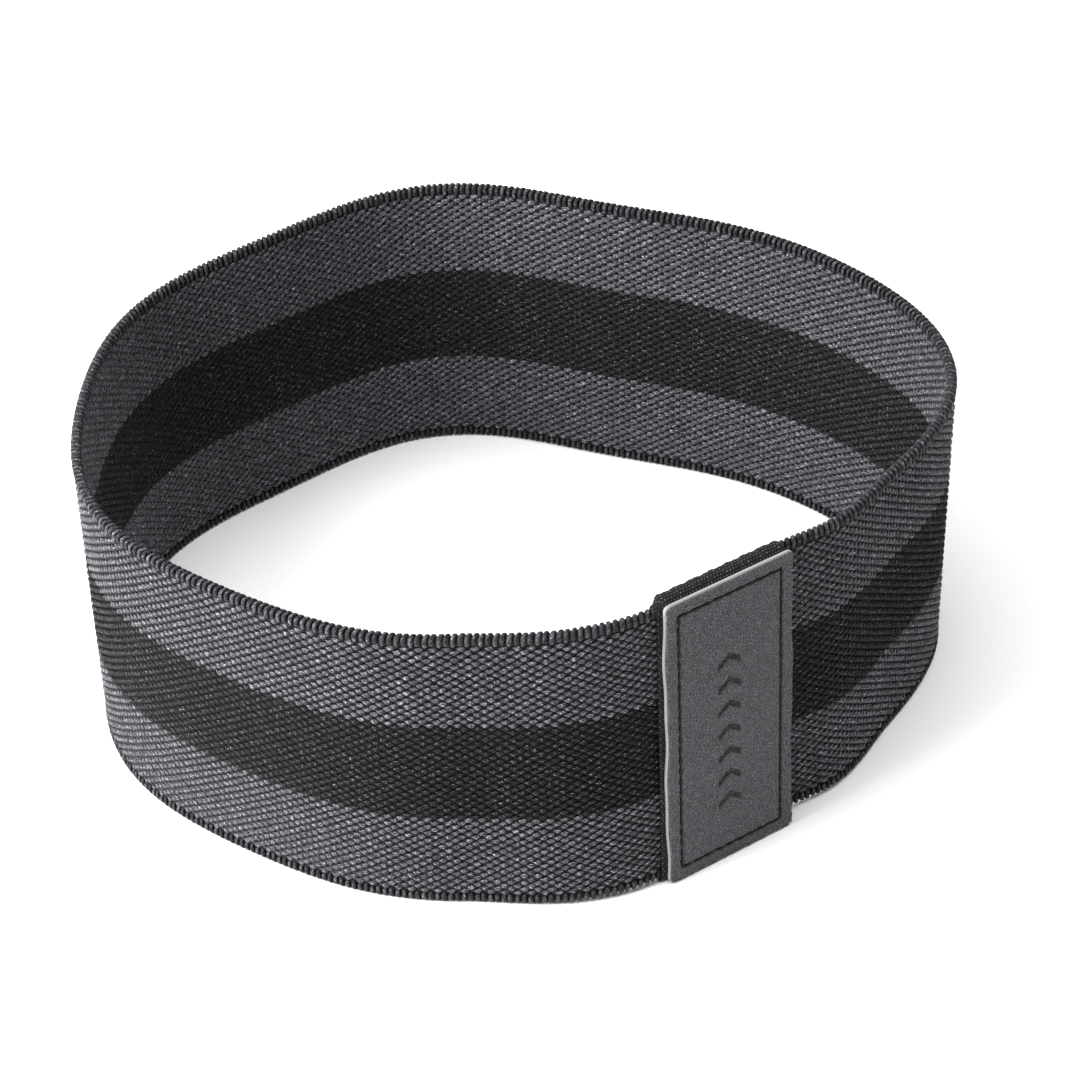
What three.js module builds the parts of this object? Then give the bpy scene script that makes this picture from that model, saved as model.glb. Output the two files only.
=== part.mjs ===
// A fabric resistance band. One length of striped elastic webbing is lapped end over end into a
// loop, a knitted tape goes round the lap, and a leather-look label is sewn through all of it.
// Millimetres, +Z up. The band stands on its lower edge and the label faces -Y.

import * as THREE from "three";

const { degToRad, euclideanModulo, lerp, smoothstep } = THREE.MathUtils;

// Webbing: two woven faces with rubber threads running between them, and a selvedge on each edge
const WEBBING_WIDTH = 80;
const WEBBING_THICKNESS = 2.4;
const FACE_THICKNESS = 0.75;
const CENTRE_STRIPE = 28;
const SELVEDGE_HEIGHT = 3;
const SELVEDGE_THICKNESS = 2.6;
const SELVEDGE_CREST = 1.2; // flat width along the very edge
const SELVEDGE_SHOULDER = 0.8; // height of the slope from the crest to the full thickness
const RUBBER_THREADS = 18;
const RUBBER_SIDE = 0.7;
const STRIPE_GAP = 0.2; // between strips that lie edge to edge
const LAYER_GAP = 0.1; // between pieces that lie face to face

// Loop: a circle with a few low lobes on its radius, which is how soft webbing settles on edge.
// Each row is [lobes round the loop, height of a lobe, direction of its first crest in degrees].
const LOOP_RADIUS = 97.2;
const LOBES = [
  [2, 6.4, -26.7],
  [3, 2.8, -32.3],
  [4, 2.5, -24.3],
  [5, 1.0, -15.4],
  [7, 1.35, 15.8],
];
const JOINT_DIRECTION = -91.3; // degrees, from the loop's middle to the middle of the lap
const JOINT_DISTANCE = 89.4; // from the loop's middle to the straight stretch at the lap
const STRAIGHT_HALF = 17; // the sewn lap is stiff, so the loop is straight this far either side
const BEND_END = 60; // and has its own curve again from here on
const JOINT_FLARE = 1.9; // how far the lap's lower edge stands out past its upper edge
const LOOP_FLARE = -1; // the same for the rest of the loop, whose lower edge is drawn in a little
const FLARE_START = 25; // the flare changes from the one to the other between these distances
const FLARE_END = 85;

// Joint: the lapped ends, the tape round them and the label over the tape
const LAP_LENGTH = 34;
const LAP_RAMP = 20; // length over which a layer steps sideways beside the lap
const LAP_SQUEEZE = 0.78; // share of its thickness that the webbing keeps under the stitching
const JOINT_LIFT = 0.9; // the tape under the lap holds the webbing off the floor
const LIFT_END = 60;
const TAPE_WIDTH = 37;
const TAPE_SHIFT = -0.9; // the tape shows past the label on one side only
const TAPE_THICKNESS = 0.7;
const TAPE_HEIGHT = 82;
const TAPE_ROUNDING = 2.4;
const TAPE_SLIT = 1; // between the tape's two ends, under the label
const TAPE_STEPS = 4;
const LABEL_WIDTH = 36;
const LABEL_HEIGHT = 81;
const LABEL_BOTTOM = 0.5;
const LABEL_CORNER = 2;
const BACKING_THICKNESS = 0.8;
const LABEL_FACE_THICKNESS = 0.4;
const STITCH_INSET = 3.1;
const THREAD_WIDTH = 0.6;
const THREAD_THICKNESS = 0.3;

const LOOP_STEPS = 44; // straight pieces round the loop between the two sides of the lap
const CORNER_STEPS = 3; // straight pieces round a rounded corner

// Distances outward from the middle of the lap
const LAP_SHIFT = (SELVEDGE_THICKNESS * LAP_SQUEEZE + 2 * LAYER_GAP) / 2;
const LAP_HALF = LAP_SHIFT + (SELVEDGE_THICKNESS * LAP_SQUEEZE) / 2;
const TAPE_INSIDE = LAP_HALF + LAYER_GAP;
const TAPE_OUTSIDE = TAPE_INSIDE + TAPE_THICKNESS;
const BACKING_BACK = TAPE_OUTSIDE + LAYER_GAP;
const LABEL_FACE_BACK = BACKING_BACK + BACKING_THICKNESS + LAYER_GAP;
const NEEDLE_THREAD_BACK = LABEL_FACE_BACK + LABEL_FACE_THICKNESS + LAYER_GAP;

// The middle line of the webbing, seen from above and run counter-clockwise from the lap
class LoopPlan extends THREE.Curve {
  getPoint(t, target = new THREE.Vector3()) {
    const straight = this.lobed(degToRad(JOINT_DIRECTION), new THREE.Vector3());
    this.lobed(degToRad(JOINT_DIRECTION) + 2 * Math.PI * t, target);
    const away = Math.abs(target.x - straight.x);
    const pressed = target.y < 0 ? 1 - smoothstep(away, STRAIGHT_HALF, BEND_END) : 0;
    return target.setY(lerp(target.y, -JOINT_DISTANCE, pressed));
  }

  lobed(angle, target) {
    let radius = LOOP_RADIUS;
    for (const [lobes, height, crest] of LOBES) {
      radius += height * Math.cos(lobes * (angle - degToRad(crest)));
    }
    return target.set(radius * Math.cos(angle), radius * Math.sin(angle), 0);
  }
}

const loop = new LoopPlan();
loop.arcLengthDivisions = 1440;
const LOOP_LENGTH = loop.getLength();

// Where the webbing's straight pieces meet: at the lap's ends, beside its ramps and evenly between
function webbingStations() {
  const lapEnd = LAP_LENGTH / 2;
  const rampEnd = lapEnd + LAP_RAMP;
  const stations = [-lapEnd, 0, lapEnd, lapEnd + LAP_RAMP / 2];
  for (let i = 0; i <= LOOP_STEPS; i++) {
    stations.push(lerp(rampEnd, LOOP_LENGTH - rampEnd, i / LOOP_STEPS));
  }
  stations.push(LOOP_LENGTH - lapEnd - LAP_RAMP / 2);
  stations.push(LOOP_LENGTH - lapEnd, LOOP_LENGTH, LOOP_LENGTH + lapEnd);
  return stations;
}

const stations = webbingStations();

// The first end of the webbing passes inside the lap and the last end outside it, both squeezed
function lapped(along, outward) {
  const lapEnd = LAP_LENGTH / 2;
  const inside = 1 - smoothstep(along, lapEnd, lapEnd + LAP_RAMP);
  const outside = smoothstep(along, LOOP_LENGTH - lapEnd - LAP_RAMP, LOOP_LENGTH - lapEnd);
  return outward * lerp(1, LAP_SQUEEZE, inside + outside) + LAP_SHIFT * (outside - inside);
}

function fromJoint(along) {
  return Math.min(Math.abs(along), Math.abs(along - LOOP_LENGTH));
}

function jointLift(along) {
  return JOINT_LIFT * (1 - smoothstep(fromJoint(along), TAPE_WIDTH / 2 + 1, LIFT_END));
}

// How far a height lies outward of the upper edge, because the walls aren't quite upright
function flare(along, height) {
  const changed = smoothstep(fromJoint(along), FLARE_START, FLARE_END);
  const full = lerp(JOINT_FLARE, LOOP_FLARE, changed);
  return full * (1 - height / WEBBING_WIDTH);
}

// Take a piece laid out flat, with x along the loop, y up and z outward, and lay it round the loop
function layRoundLoop(geometry) {
  const corners = geometry.getAttribute("position");
  for (let i = 0; i < corners.count; i++) {
    const u = euclideanModulo(corners.getX(i), LOOP_LENGTH) / LOOP_LENGTH;
    const middle = loop.getPointAt(u);
    const heading = loop.getTangentAt(u);
    const outward = corners.getZ(i) + flare(corners.getX(i), corners.getY(i));
    const x = middle.x + outward * heading.y;
    const y = middle.y - outward * heading.x;
    corners.setXYZ(i, x, y, corners.getY(i));
  }
  geometry.computeVertexNormals();
  return geometry;
}

// A closed outline through corners given as [x, y, rounding]
function outline(corners) {
  const shape = new THREE.Shape();
  corners.forEach(([x, y, rounding = 0], i) => {
    const corner = new THREE.Vector2(x, y);
    const cut = ([nextX, nextY]) =>
      new THREE.Vector2(nextX - x, nextY - y).setLength(rounding).add(corner);
    const start = cut(corners.at(i - 1));
    const end = cut(corners[(i + 1) % corners.length]);
    if (i === 0) shape.moveTo(start.x, start.y);
    else shape.lineTo(start.x, start.y);
    if (rounding > 0) shape.quadraticCurveTo(x, y, end.x, end.y);
  });
  return shape;
}

function rectangle(left, bottom, right, top, rounding = 0) {
  return [
    [left, bottom, rounding],
    [right, bottom, rounding],
    [right, top, rounding],
    [left, top, rounding],
  ];
}

// A section drawn as [inward, height] and drawn out flat along x in equal steps
function drawnOut(section, length, steps) {
  const settings = { depth: length, steps, bevelEnabled: false, curveSegments: CORNER_STEPS };
  return new THREE.ExtrudeGeometry(outline(section), settings).rotateY(Math.PI / 2);
}

// A strip as long as the webbing, with its lap and its lift over the tape
function webbingStrip(section) {
  const steps = stations.length - 1;
  const geometry = drawnOut(section, steps, steps);
  const corners = geometry.getAttribute("position");
  for (let i = 0; i < corners.count; i++) {
    const along = stations[Math.round(corners.getX(i))];
    const height = corners.getY(i) + jointLift(along);
    const outward = lapped(along, corners.getZ(i));
    corners.setXYZ(i, along, height, outward);
  }
  return layRoundLoop(geometry);
}

// A flat sheet whose outline is drawn as [along, height], from one outward distance on
function sheet(shape, back, thickness) {
  const settings = { depth: thickness, bevelEnabled: false, curveSegments: CORNER_STEPS };
  const geometry = new THREE.ExtrudeGeometry(shape, settings).translate(0, 0, back);
  return layRoundLoop(geometry);
}

const material = (color, roughness) =>
  new THREE.MeshStandardMaterial({ color, roughness, metalness: 0 });
const greyYarn = material(0x5d5c62, 0.85);
const darkYarn = material(0x232326, 0.85);
const selvedgeYarn = material(0x37373a, 0.8);
const rubber = material(0x1b1b1b, 0.7);
const knittedTape = material(0x1c1b1a, 0.9);
const labelLeather = material(0x55535a, 0.6);
const labelCore = material(0xb9b9b9, 0.8);
const sewingThread = material(0x141414, 0.6);

const band = new THREE.Group();

function add(name, geometry, finish) {
  const mesh = new THREE.Mesh(geometry, finish);
  mesh.name = name;
  band.add(mesh);
}

// Three stripes on each side of the webbing
function addFaces() {
  const lowEdge = SELVEDGE_HEIGHT + STRIPE_GAP;
  const centreLow = (WEBBING_WIDTH - CENTRE_STRIPE) / 2;
  const centreHigh = (WEBBING_WIDTH + CENTRE_STRIPE) / 2;
  const stripes = [
    ["lower", lowEdge, centreLow - STRIPE_GAP, greyYarn],
    ["centre", centreLow, centreHigh, darkYarn],
    ["upper", centreHigh + STRIPE_GAP, WEBBING_WIDTH - lowEdge, greyYarn],
  ];
  const faceOut = WEBBING_THICKNESS / 2;
  const faceIn = faceOut - FACE_THICKNESS;
  for (const [place, low, high, yarn] of stripes) {
    add("outer_face_" + place, webbingStrip(rectangle(-faceOut, low, -faceIn, high)), yarn);
    add("inner_face_" + place, webbingStrip(rectangle(faceIn, low, faceOut, high)), yarn);
  }
}

// Rubber threads, evenly spaced over the height between the selvedges
function addRubber() {
  const pitch = (WEBBING_WIDTH - 2 * SELVEDGE_HEIGHT) / RUBBER_THREADS;
  const half = RUBBER_SIDE / 2;
  for (let i = 0; i < RUBBER_THREADS; i++) {
    const middle = SELVEDGE_HEIGHT + pitch * (i + 0.5);
    const section = rectangle(-half, middle - half, half, middle + half);
    const name = "rubber_thread_" + String(i + 1).padStart(2, "0");
    add(name, webbingStrip(section), rubber);
  }
}

// A selvedge is full thickness beside the stripes and slopes in to a flat crest at the edge
function selvedgeSection(edge, up) {
  const half = SELVEDGE_THICKNESS / 2;
  const crest = SELVEDGE_CREST / 2;
  const shoulder = edge - up * SELVEDGE_SHOULDER;
  const root = edge - up * SELVEDGE_HEIGHT;
  return [
    [-half, root],
    [half, root],
    [half, shoulder],
    [crest, edge],
    [-crest, edge],
    [-half, shoulder],
  ];
}

// The tape's section: a sleeve round the lap, slit under the label where its two ends meet
function tapeSection() {
  const low = TAPE_THICKNESS;
  const high = TAPE_HEIGHT - TAPE_THICKNESS;
  const slitLow = (TAPE_HEIGHT - TAPE_SLIT) / 2;
  const slitHigh = (TAPE_HEIGHT + TAPE_SLIT) / 2;
  const inner = TAPE_ROUNDING - 2 * TAPE_THICKNESS;
  return [
    [-TAPE_OUTSIDE, slitLow],
    [-TAPE_OUTSIDE, 0, TAPE_ROUNDING],
    [TAPE_OUTSIDE, 0, TAPE_ROUNDING],
    [TAPE_OUTSIDE, TAPE_HEIGHT, TAPE_ROUNDING],
    [-TAPE_OUTSIDE, TAPE_HEIGHT, TAPE_ROUNDING],
    [-TAPE_OUTSIDE, slitHigh],
    [-TAPE_INSIDE, slitHigh],
    [-TAPE_INSIDE, high, inner],
    [TAPE_INSIDE, high, inner],
    [TAPE_INSIDE, low, inner],
    [-TAPE_INSIDE, low, inner],
    [-TAPE_INSIDE, slitLow],
  ];
}

function addTape() {
  const geometry = drawnOut(tapeSection(), TAPE_WIDTH, TAPE_STEPS);
  geometry.translate(TAPE_SHIFT - TAPE_WIDTH / 2, 0, 0);
  add("joint_tape", layRoundLoop(geometry), knittedTape);
}

function addLabel() {
  const half = LABEL_WIDTH / 2;
  const top = LABEL_BOTTOM + LABEL_HEIGHT;
  const edge = outline(rectangle(-half, LABEL_BOTTOM, half, top, LABEL_CORNER));
  add("label_backing", sheet(edge, BACKING_BACK, BACKING_THICKNESS), labelCore);
  add("label_face", sheet(edge, LABEL_FACE_BACK, LABEL_FACE_THICKNESS), labelLeather);
}

// One rectangular run of thread, inset from the label's edge
function threadRun(back) {
  const ring = (inset) => {
    const half = LABEL_WIDTH / 2 - inset;
    const low = LABEL_BOTTOM + inset;
    return outline(rectangle(-half, low, half, LABEL_BOTTOM + LABEL_HEIGHT - inset));
  };
  const shape = ring(STITCH_INSET);
  shape.holes.push(ring(STITCH_INSET + THREAD_WIDTH));
  return sheet(shape, back, THREAD_THICKNESS);
}

addFaces();
addRubber();
add("selvedge_bottom", webbingStrip(selvedgeSection(0, -1)), selvedgeYarn);
add("selvedge_top", webbingStrip(selvedgeSection(WEBBING_WIDTH, 1)), selvedgeYarn);
addTape();
addLabel();
add("needle_thread", threadRun(NEEDLE_THREAD_BACK), sewingThread);
add("bobbin_thread", threadRun(-TAPE_OUTSIDE - LAYER_GAP - THREAD_THICKNESS), sewingThread);

// The origin is under the middle of the whole band
const extent = new THREE.Box3().setFromObject(band);
const middle = extent.getCenter(new THREE.Vector3());
band.position.set(-middle.x, -middle.y, -extent.min.z);

export default band;
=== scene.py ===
import math

import bpy
import numpy as np
from mathutils import Matrix, Vector


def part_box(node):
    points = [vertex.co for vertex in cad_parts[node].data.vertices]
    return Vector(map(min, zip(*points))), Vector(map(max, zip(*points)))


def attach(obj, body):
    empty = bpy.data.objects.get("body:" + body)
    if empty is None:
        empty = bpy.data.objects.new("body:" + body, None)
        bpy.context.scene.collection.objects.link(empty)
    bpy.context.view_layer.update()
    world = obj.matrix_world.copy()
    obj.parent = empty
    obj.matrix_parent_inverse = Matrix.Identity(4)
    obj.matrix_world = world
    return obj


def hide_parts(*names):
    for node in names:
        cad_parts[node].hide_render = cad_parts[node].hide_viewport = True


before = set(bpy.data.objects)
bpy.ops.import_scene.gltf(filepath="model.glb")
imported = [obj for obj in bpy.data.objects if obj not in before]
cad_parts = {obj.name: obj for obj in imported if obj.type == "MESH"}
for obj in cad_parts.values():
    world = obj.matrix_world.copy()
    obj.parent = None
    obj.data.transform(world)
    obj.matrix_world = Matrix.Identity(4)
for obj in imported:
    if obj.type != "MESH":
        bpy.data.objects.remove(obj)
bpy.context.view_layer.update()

MM = 0.001

# The loop, as in the CAD model
WEBBING_WIDTH = 80
SELVEDGE_HEIGHT = 3
CENTRE_STRIPE = 28
LOOP_RADIUS = 97.2
LOBES = [  # lobes round the loop, height of a lobe, direction of its first crest in degrees
    (2, 6.4, -26.7),
    (3, 2.8, -32.3),
    (4, 2.5, -24.3),
    (5, 1.0, -15.4),
    (7, 1.35, 15.8),
]
JOINT_DIRECTION = -91.3  # in degrees, from the middle of the loop
JOINT_DISTANCE = 89.4  # from the middle of the loop to the webbing there
STRAIGHT_HALF = 17  # the webbing is straight this far to each side of the joint
BEND_END = 60  # and follows the lobes again from here
JOINT_FLARE = 1.9  # how far the lower edge stands outward of the upper edge at the joint
LOOP_FLARE = -1  # and round the rest of the loop
FLARE_START, FLARE_END = 25, 85  # distances from the joint between which the flare changes

# The lap of the webbing's two ends
LAP_HALF_LENGTH = 17
LAP_RAMP = 20  # length over which an end moves inward or outward to its place in the lap
LAP_SQUEEZE = 0.78  # each layer's share of the webbing's thickness
LAP_SHIFT = 1.114  # how far the two layers lie inward and outward of the middle line
JOINT_LIFT = 0.9  # how much higher the webbing stands at the joint, on the fold of the tape
LIFT_START, LIFT_END = 19.5, 60  # distances from the joint over which the lift fades

# Warp yarns
PICK = 1.565  # distance between weft yarns
ROWS = 70  # warp yarns on one face
ROW_PITCH = (WEBBING_WIDTH - 2 * SELVEDGE_HEIGHT) / ROWS
STATIONS_PER_PICK = 3
YARN_ACROSS = (0.0, 1.0, 0.55, -0.55, -1.0)  # a yarn's cross-section, flat on top
YARN_OUT = (-0.9, 0.15, 1.0, 1.0, 0.15)
YARN_CORNERS = (-90, 10, 60, 120, 170)  # the same corners as angles round the yarn, in degrees
YARN_PAINTED_LIGHT = (0.0, 0.5, 1.0, 1.0, 0.5)  # painted light at each corner, darker where it lies close to the neighbouring yarns
YARN_SIDES = len(YARN_ACROSS)
FLOAT_SKEW = 0.14  # how far a float's crest leans towards one end, in picks
FLOAT_BLUNTNESS = 2.1  # the higher, the flatter a float's top and the steeper its ends
DIP_HALF_WIDTH, CREST_WIDENING = 0.12, 0.58  # a yarn where it dips, and the gain at a crest
DIP_OUTWARD, CREST_RISE = 0.42, 0.43
DIP_HALF_THICKNESS, CREST_THICKENING = 0.13, 0.20
FLOAT_SLANT = 0.08  # how far a float runs up at one end and down at the other
WIDTH_UNEVENNESS, RISE_UNEVENNESS, PLACE_UNEVENNESS = 0.1, 0.07, 0.1  # from float to float
PAINTED_END_SHADE = 0.42  # how much a float is painted darker towards one end and lighter towards the other, as if lit from one side
PAINTED_SIDE_SHADE = 0.72  # and the same from side to side, the upper side painted lighter as if lit from above
FIBRE_SPREAD = 5.3  # keeps the fibre pattern of a yarn apart from the next yarn's
FACE_SPREAD = 900  # and that of one face apart from the other's
FIBRE_ROUND, FIBRE_TWIST = 0.55, 0.35  # fibre pattern for each radian round and each mm along

# Weft ground behind the warp yarns
GROUND_INSET = 2.0  # from each edge of the webbing
GROUND_BACK, GROUND_FRONT = 0.40, 0.50  # distances from the webbing's middle
GROUND_WAVE = 0.04
GROUND_STATIONS_PER_PICK = 4

# Selvedges, with one rib a pick, as height above the edge and outward
RIB_LEG = [(-1.7, 0.95), (-1.1, 0.94), (-0.62, 0.74)]
RIB_SHOULDER = (-0.39, 0.38)
RIB_END_OUTWARD, RIB_FOOT_OUTWARD = 0.5, 0.86
RIB_FOOT = 0.3
RIB_LENGTH, RIB_STAGGER = 2.45, 0.5  # every other rib is longer
RIB_HALF_WIDTH = 0.6
RIB_HALF_THICKNESS = 0.40
RIB_LEAN = 0.4  # how far a rib leans along the webbing for each mm outward
RIB_SIDES = 6
RIB_END_TAPER, RIB_FOOT_TAPER = 0.45, 0.85
RIB_UNEVENNESS = 0.08
RIB_SHORTFALL = 0.05  # how far a rib may stay below the edge
RIB_THICKER = 0.1  # every other rib is this much thicker
RIB_FIBRE_SPREAD = 3.7
EDGE_SPREAD = 200
RIB_FIBRE_ROUND, RIB_FIBRE_TWIST = 0.45, 0.6
RIB_PAINTED_FLANK_LIGHT, RIB_PAINTED_TOP_LIGHT = 0.4, 0.5  # painted light at a rib's flanks, and the painted gain on its outer side
EVEN_RIB_LIGHT, ODD_RIB_LIGHT = 0.66, 0.46  # the most painted light that even and odd ribs get
CORE_DEPTH, CORE_TOP = 2.9, 0.5  # depths below the edge
CORE_WIDE, CORE_NARROW = 0.62, 0.3  # half the core's thickness at those depths
BOTTOM_SEED, TOP_SEED = 21, 22

# Tape
TAPE_LOW, TAPE_HIGH = 0.0, 82.0
TAPE_LEFT, TAPE_RIGHT = -19.4, 17.6
TAPE_OUTSIDE = 2.93  # its outer line's distance outward of the webbing's middle line
TAPE_INSIDE = 2.65  # and inward of it
TAPE_THICKNESS = 0.5
TAPE_ROUNDING = 2.6
TAPE_CORNER_POINTS = 24
TAPE_SLIT_HALF = 0.5  # the tape's two ends stand this far from the middle of its height
KNIT_PITCH = 0.87
KNIT_STEP = KNIT_PITCH / 3
KNIT_DEPTH = 0.2
TAPE_EDGE_WIDTH, TAPE_EDGE_ROUNDING = 0.7, 0.35
TAPE_BACK_RISE = 0.2  # the side that lies against the webbing carries no light flecks
PULL_WIDTH, PULL_DEPTH = 0.7, 0.3  # where the label's stitches draw the tape in, on the inside
LONG_WAVE, LONG_WAVE_RATE = 0.09, 1.3  # the tape's unevenness, with rates in radians a mm
LONG_WAVE_WANDER, WANDER_RATE = 0.9, 0.35
SHORT_WAVE, SHORT_WAVE_RATE, SHORT_WAVE_PHASE = 0.06, 2.9, 1.0
ONE_LAYER_WIDTH = 3.5  # at its left edge the tape lies on one layer of webbing, not two
ONE_LAYER_HUG = 2.1  # so there its inner side lies this much further outward
ONE_LAYER_DROP = 0.8  # and its upper half this much lower

# Label
LABEL_HALF = 18.0
LABEL_LOW, LABEL_HIGH = 0.5, 81.5
LABEL_MIDDLE = (LABEL_LOW + LABEL_HIGH) / 2
LABEL_CORNER = 1.2
BACKING_BACK = 3.03  # this and the next two: distances outward of the middle line
LABEL_FACE_BACK = 3.93
LABEL_FRONT = 4.33
LEATHER_STEP, CORE_STEP = 0.21, 0.8
WAVY_BORDER = 4  # the long edges wander a little, this far into the label
EDGE_WAVE, EDGE_WAVE_RATE, EDGE_WAVE_PHASE = 0.22, 0.16, 0.6
EDGE_RIPPLE, EDGE_RIPPLE_RATE = 0.12, 0.37
GRAIN_WAVES = 14
GRAIN_SCALE = 4  # brings the sum of the waves to about 1
GRAIN_PITCH = (0.7, 1.2)
GRAIN_SEED = 4
GRAIN_DEPTH = 0.12
LABEL_CROWN, CROWN_START, CROWN_END = 0.12, 4.0, 9  # the middle of the label is a little higher
LEATHER_RIM_WIDTH, LEATHER_RIM_DEPTH = 0.35, 0.12
BACKING_GROWTH = 0.15  # how far the pale core shows past the leather
BACKING_GAP = 0.02
BACKING_RIM_WIDTH, BACKING_RIM_DEPTH = 0.8, 0.1

# Chevrons debossed in the label
CHEVRONS = 7
CHEVRONS_LOW, CHEVRONS_HIGH = 19.5, 60.5
CHEVRONS_ALONG = -0.4
CHEVRON_SLOPE = 0.75
CHEVRON_HALF_STROKE = (0.55, 0.85)  # where a stroke begins to fade, and where it has gone
CHEVRON_HALF_WIDTH = (3.0, 3.4)
CHEVRON_DEPTH = 0.4
CHEVRON_DARKNESS = 0.65

# Stitches round the label
STITCH_INSET = 3.4  # from the label's outline
STITCH = 3.1  # length of one stitch
FURROW_HALF_WIDTH, FURROW_WIDENING = 0.24, 0.24  # it widens once in each stitch
FURROW_DEPTH, FURROW_STEEPNESS = 0.45, 4
STITCH_STATIONS = (0.03, 0.14, 0.32, 0.5, 0.68, 0.86, 0.97)  # shares of a stitch's length
STITCH_SIDES = 6
THREAD_END_RADIUS, THREAD_SWELL = 0.12, 0.15
STITCH_FULLNESS = 0.7  # the lower, the fuller a stitch stays towards its ends
STITCH_DIP = 0.2  # how far a stitch dips where it goes into the label
THREAD_SINK = 0.1  # how far the middle of a stitch's thread lies below the surface

# Studio
FLOOR_HALF = 8.0
KEY_PLACE = (-0.55, 0.24, 0.37)  # right of the camera's line, towards the camera, and up
KEY_WATTS = 13.8
KEY_SIZE = 0.5
OVERHEAD_PLACE = (0.1, 0.0, 1.8)
OVERHEAD_STRENGTH = 3.5
OVERHEAD_SPREAD = 60
AMBIENT = 0.06
HORIZON_HEIGHT = 0.09  # how high the bright low surroundings reach, as the sine of an angle
CAMERA_AIM = (2.65, -10.59, 40.0)
CAMERA_AZIMUTH = -34.437
CAMERA_ELEVATION = 37.41
CAMERA_DISTANCE = 899.4
CAMERA_LENS = 121.55
CAMERA_ROLL = -1.504
SENSOR_WIDTH = 36
CLIP_START, CLIP_END = 0.05, 40


# ---------------------------------------------------------------- the loop


def smoothstep(x, start, end):
    t = np.clip((x - start) / (end - start), 0, 1)
    return t * t * (3 - 2 * t)


def plan_line(steps=2880):
    """Points of the webbing's middle line round the loop, from the middle of the lap."""
    angle = math.radians(JOINT_DIRECTION) + np.linspace(0, 2 * math.pi, steps + 1)
    radius = np.full_like(angle, LOOP_RADIUS)
    for lobes, height, crest in LOBES:
        radius += height * np.cos(lobes * (angle - math.radians(crest)))
    x, y = radius * np.cos(angle), radius * np.sin(angle)
    away = np.abs(x - x[0])
    pressed = np.where(y < 0, 1 - smoothstep(away, STRAIGHT_HALF, BEND_END), 0)
    y += (-JOINT_DISTANCE - y) * pressed
    return np.column_stack([x, y])


def from_joint(along):
    """Distance from the middle of the lap, whichever way round the loop is shorter."""
    return np.minimum(np.abs(along), np.abs(along - LOOP_LENGTH))


def flare(along, height):
    """How far a height lies outward of the upper edge, because the walls aren't quite upright."""
    change = smoothstep(from_joint(along), FLARE_START, FLARE_END)
    full = JOINT_FLARE + (LOOP_FLARE - JOINT_FLARE) * change
    return full * (1 - height / WEBBING_WIDTH)


def joint_place():
    """Where the middle of the lap stands in the part's frame."""
    low, high = (np.array(corner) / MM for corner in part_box("label_face"))
    return np.array([(low[0] + high[0]) / 2, high[1] + LABEL_FACE_BACK + flare(0, high[2])])


def path_length(points):
    """Distance along a line of points, at each of them."""
    return np.concatenate([[0], np.cumsum(np.hypot(*np.diff(points, axis=0).T))])


plan = plan_line()
arc = path_length(plan)
LOOP_LENGTH = float(arc[-1])
plan += joint_place() - plan[0]
heading = np.roll(plan[:-1], -1, axis=0) - np.roll(plan[:-1], 1, axis=0)
heading /= np.hypot(*heading.T)[:, None]
heading = np.vstack([heading, heading[:1]])


def round_loop(flat):
    """Flat points, given as along, height and outward, where they lie round the loop."""
    along = np.mod(flat[..., 0], LOOP_LENGTH)
    outward = flat[..., 2] + flare(flat[..., 0], flat[..., 1])
    x, y = (np.interp(along, arc, plan[:, i]) for i in (0, 1))
    to_x, to_y = (np.interp(along, arc, heading[:, i]) for i in (0, 1))
    return np.stack([x + outward * to_y, y - outward * to_x, flat[..., 1]], axis=-1)


def as_webbing(flat):
    """Flat points of the webbing with its lap at the joint and its lift over the tape."""
    along = flat[..., 0]
    end = LOOP_LENGTH - LAP_HALF_LENGTH
    inside = 1 - smoothstep(along, LAP_HALF_LENGTH, LAP_HALF_LENGTH + LAP_RAMP)
    outside = smoothstep(along, end - LAP_RAMP, end)
    moved = flat.copy()
    moved[..., 1] += JOINT_LIFT * (1 - smoothstep(from_joint(along), LIFT_START, LIFT_END))
    moved[..., 2] *= 1 - (1 - LAP_SQUEEZE) * (inside + outside)
    moved[..., 2] += LAP_SHIFT * (outside - inside)
    return moved


# ---------------------------------------------------------------- meshes


def new_piece(name, flat, faces, material, nodes, values):
    """A smooth mesh from flat points and a list of face arrays, each of one corner count.
    values holds what its material reads at each point."""
    points = round_loop(flat).reshape(-1, 3) * MM
    mesh = bpy.data.meshes.new(name)
    mesh.vertices.add(len(points))
    mesh.vertices.foreach_set("co", points.astype(np.float32).ravel())
    corners = np.concatenate([f.ravel() for f in faces])
    counts = np.concatenate([np.full(len(f), f.shape[1]) for f in faces])
    mesh.loops.add(len(corners))
    mesh.loops.foreach_set("vertex_index", corners.astype(np.int32))
    mesh.polygons.add(len(counts))
    starts = np.concatenate([[0], np.cumsum(counts)[:-1]])
    mesh.polygons.foreach_set("loop_start", starts.astype(np.int32))
    mesh.update(calc_edges=True)
    mesh.shade_smooth()
    for key, value in values.items():
        value = np.asarray(value, np.float32)
        vector = value.size == points.size
        kind, field = ("FLOAT_VECTOR", "vector") if vector else ("FLOAT", "value")
        attribute = mesh.attributes.new(key, kind, "POINT")
        attribute.data.foreach_set(field, value.ravel())
    piece = bpy.data.objects.new(name, mesh)
    bpy.context.scene.collection.objects.link(piece)
    mesh.materials.append(material)
    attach(piece, "root")
    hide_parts(*nodes)
    return piece


def tube_faces(tubes, stations, sides):
    """Sides and end caps of closed tubes whose points are ordered tube, station, side."""
    ring = np.arange(sides)
    tube = np.arange(tubes)[:, None, None] * stations * sides
    near = tube + np.arange(stations - 1)[None, :, None] * sides
    a, b = near + ring, near + np.roll(ring, -1)
    walls = np.stack([a, b, b + sides, a + sides], axis=-1).reshape(-1, 4)
    first = tube[:, 0, :] + ring[::-1]
    last = tube[:, 0, :] + (stations - 1) * sides + ring
    return [walls, first, last]


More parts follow.
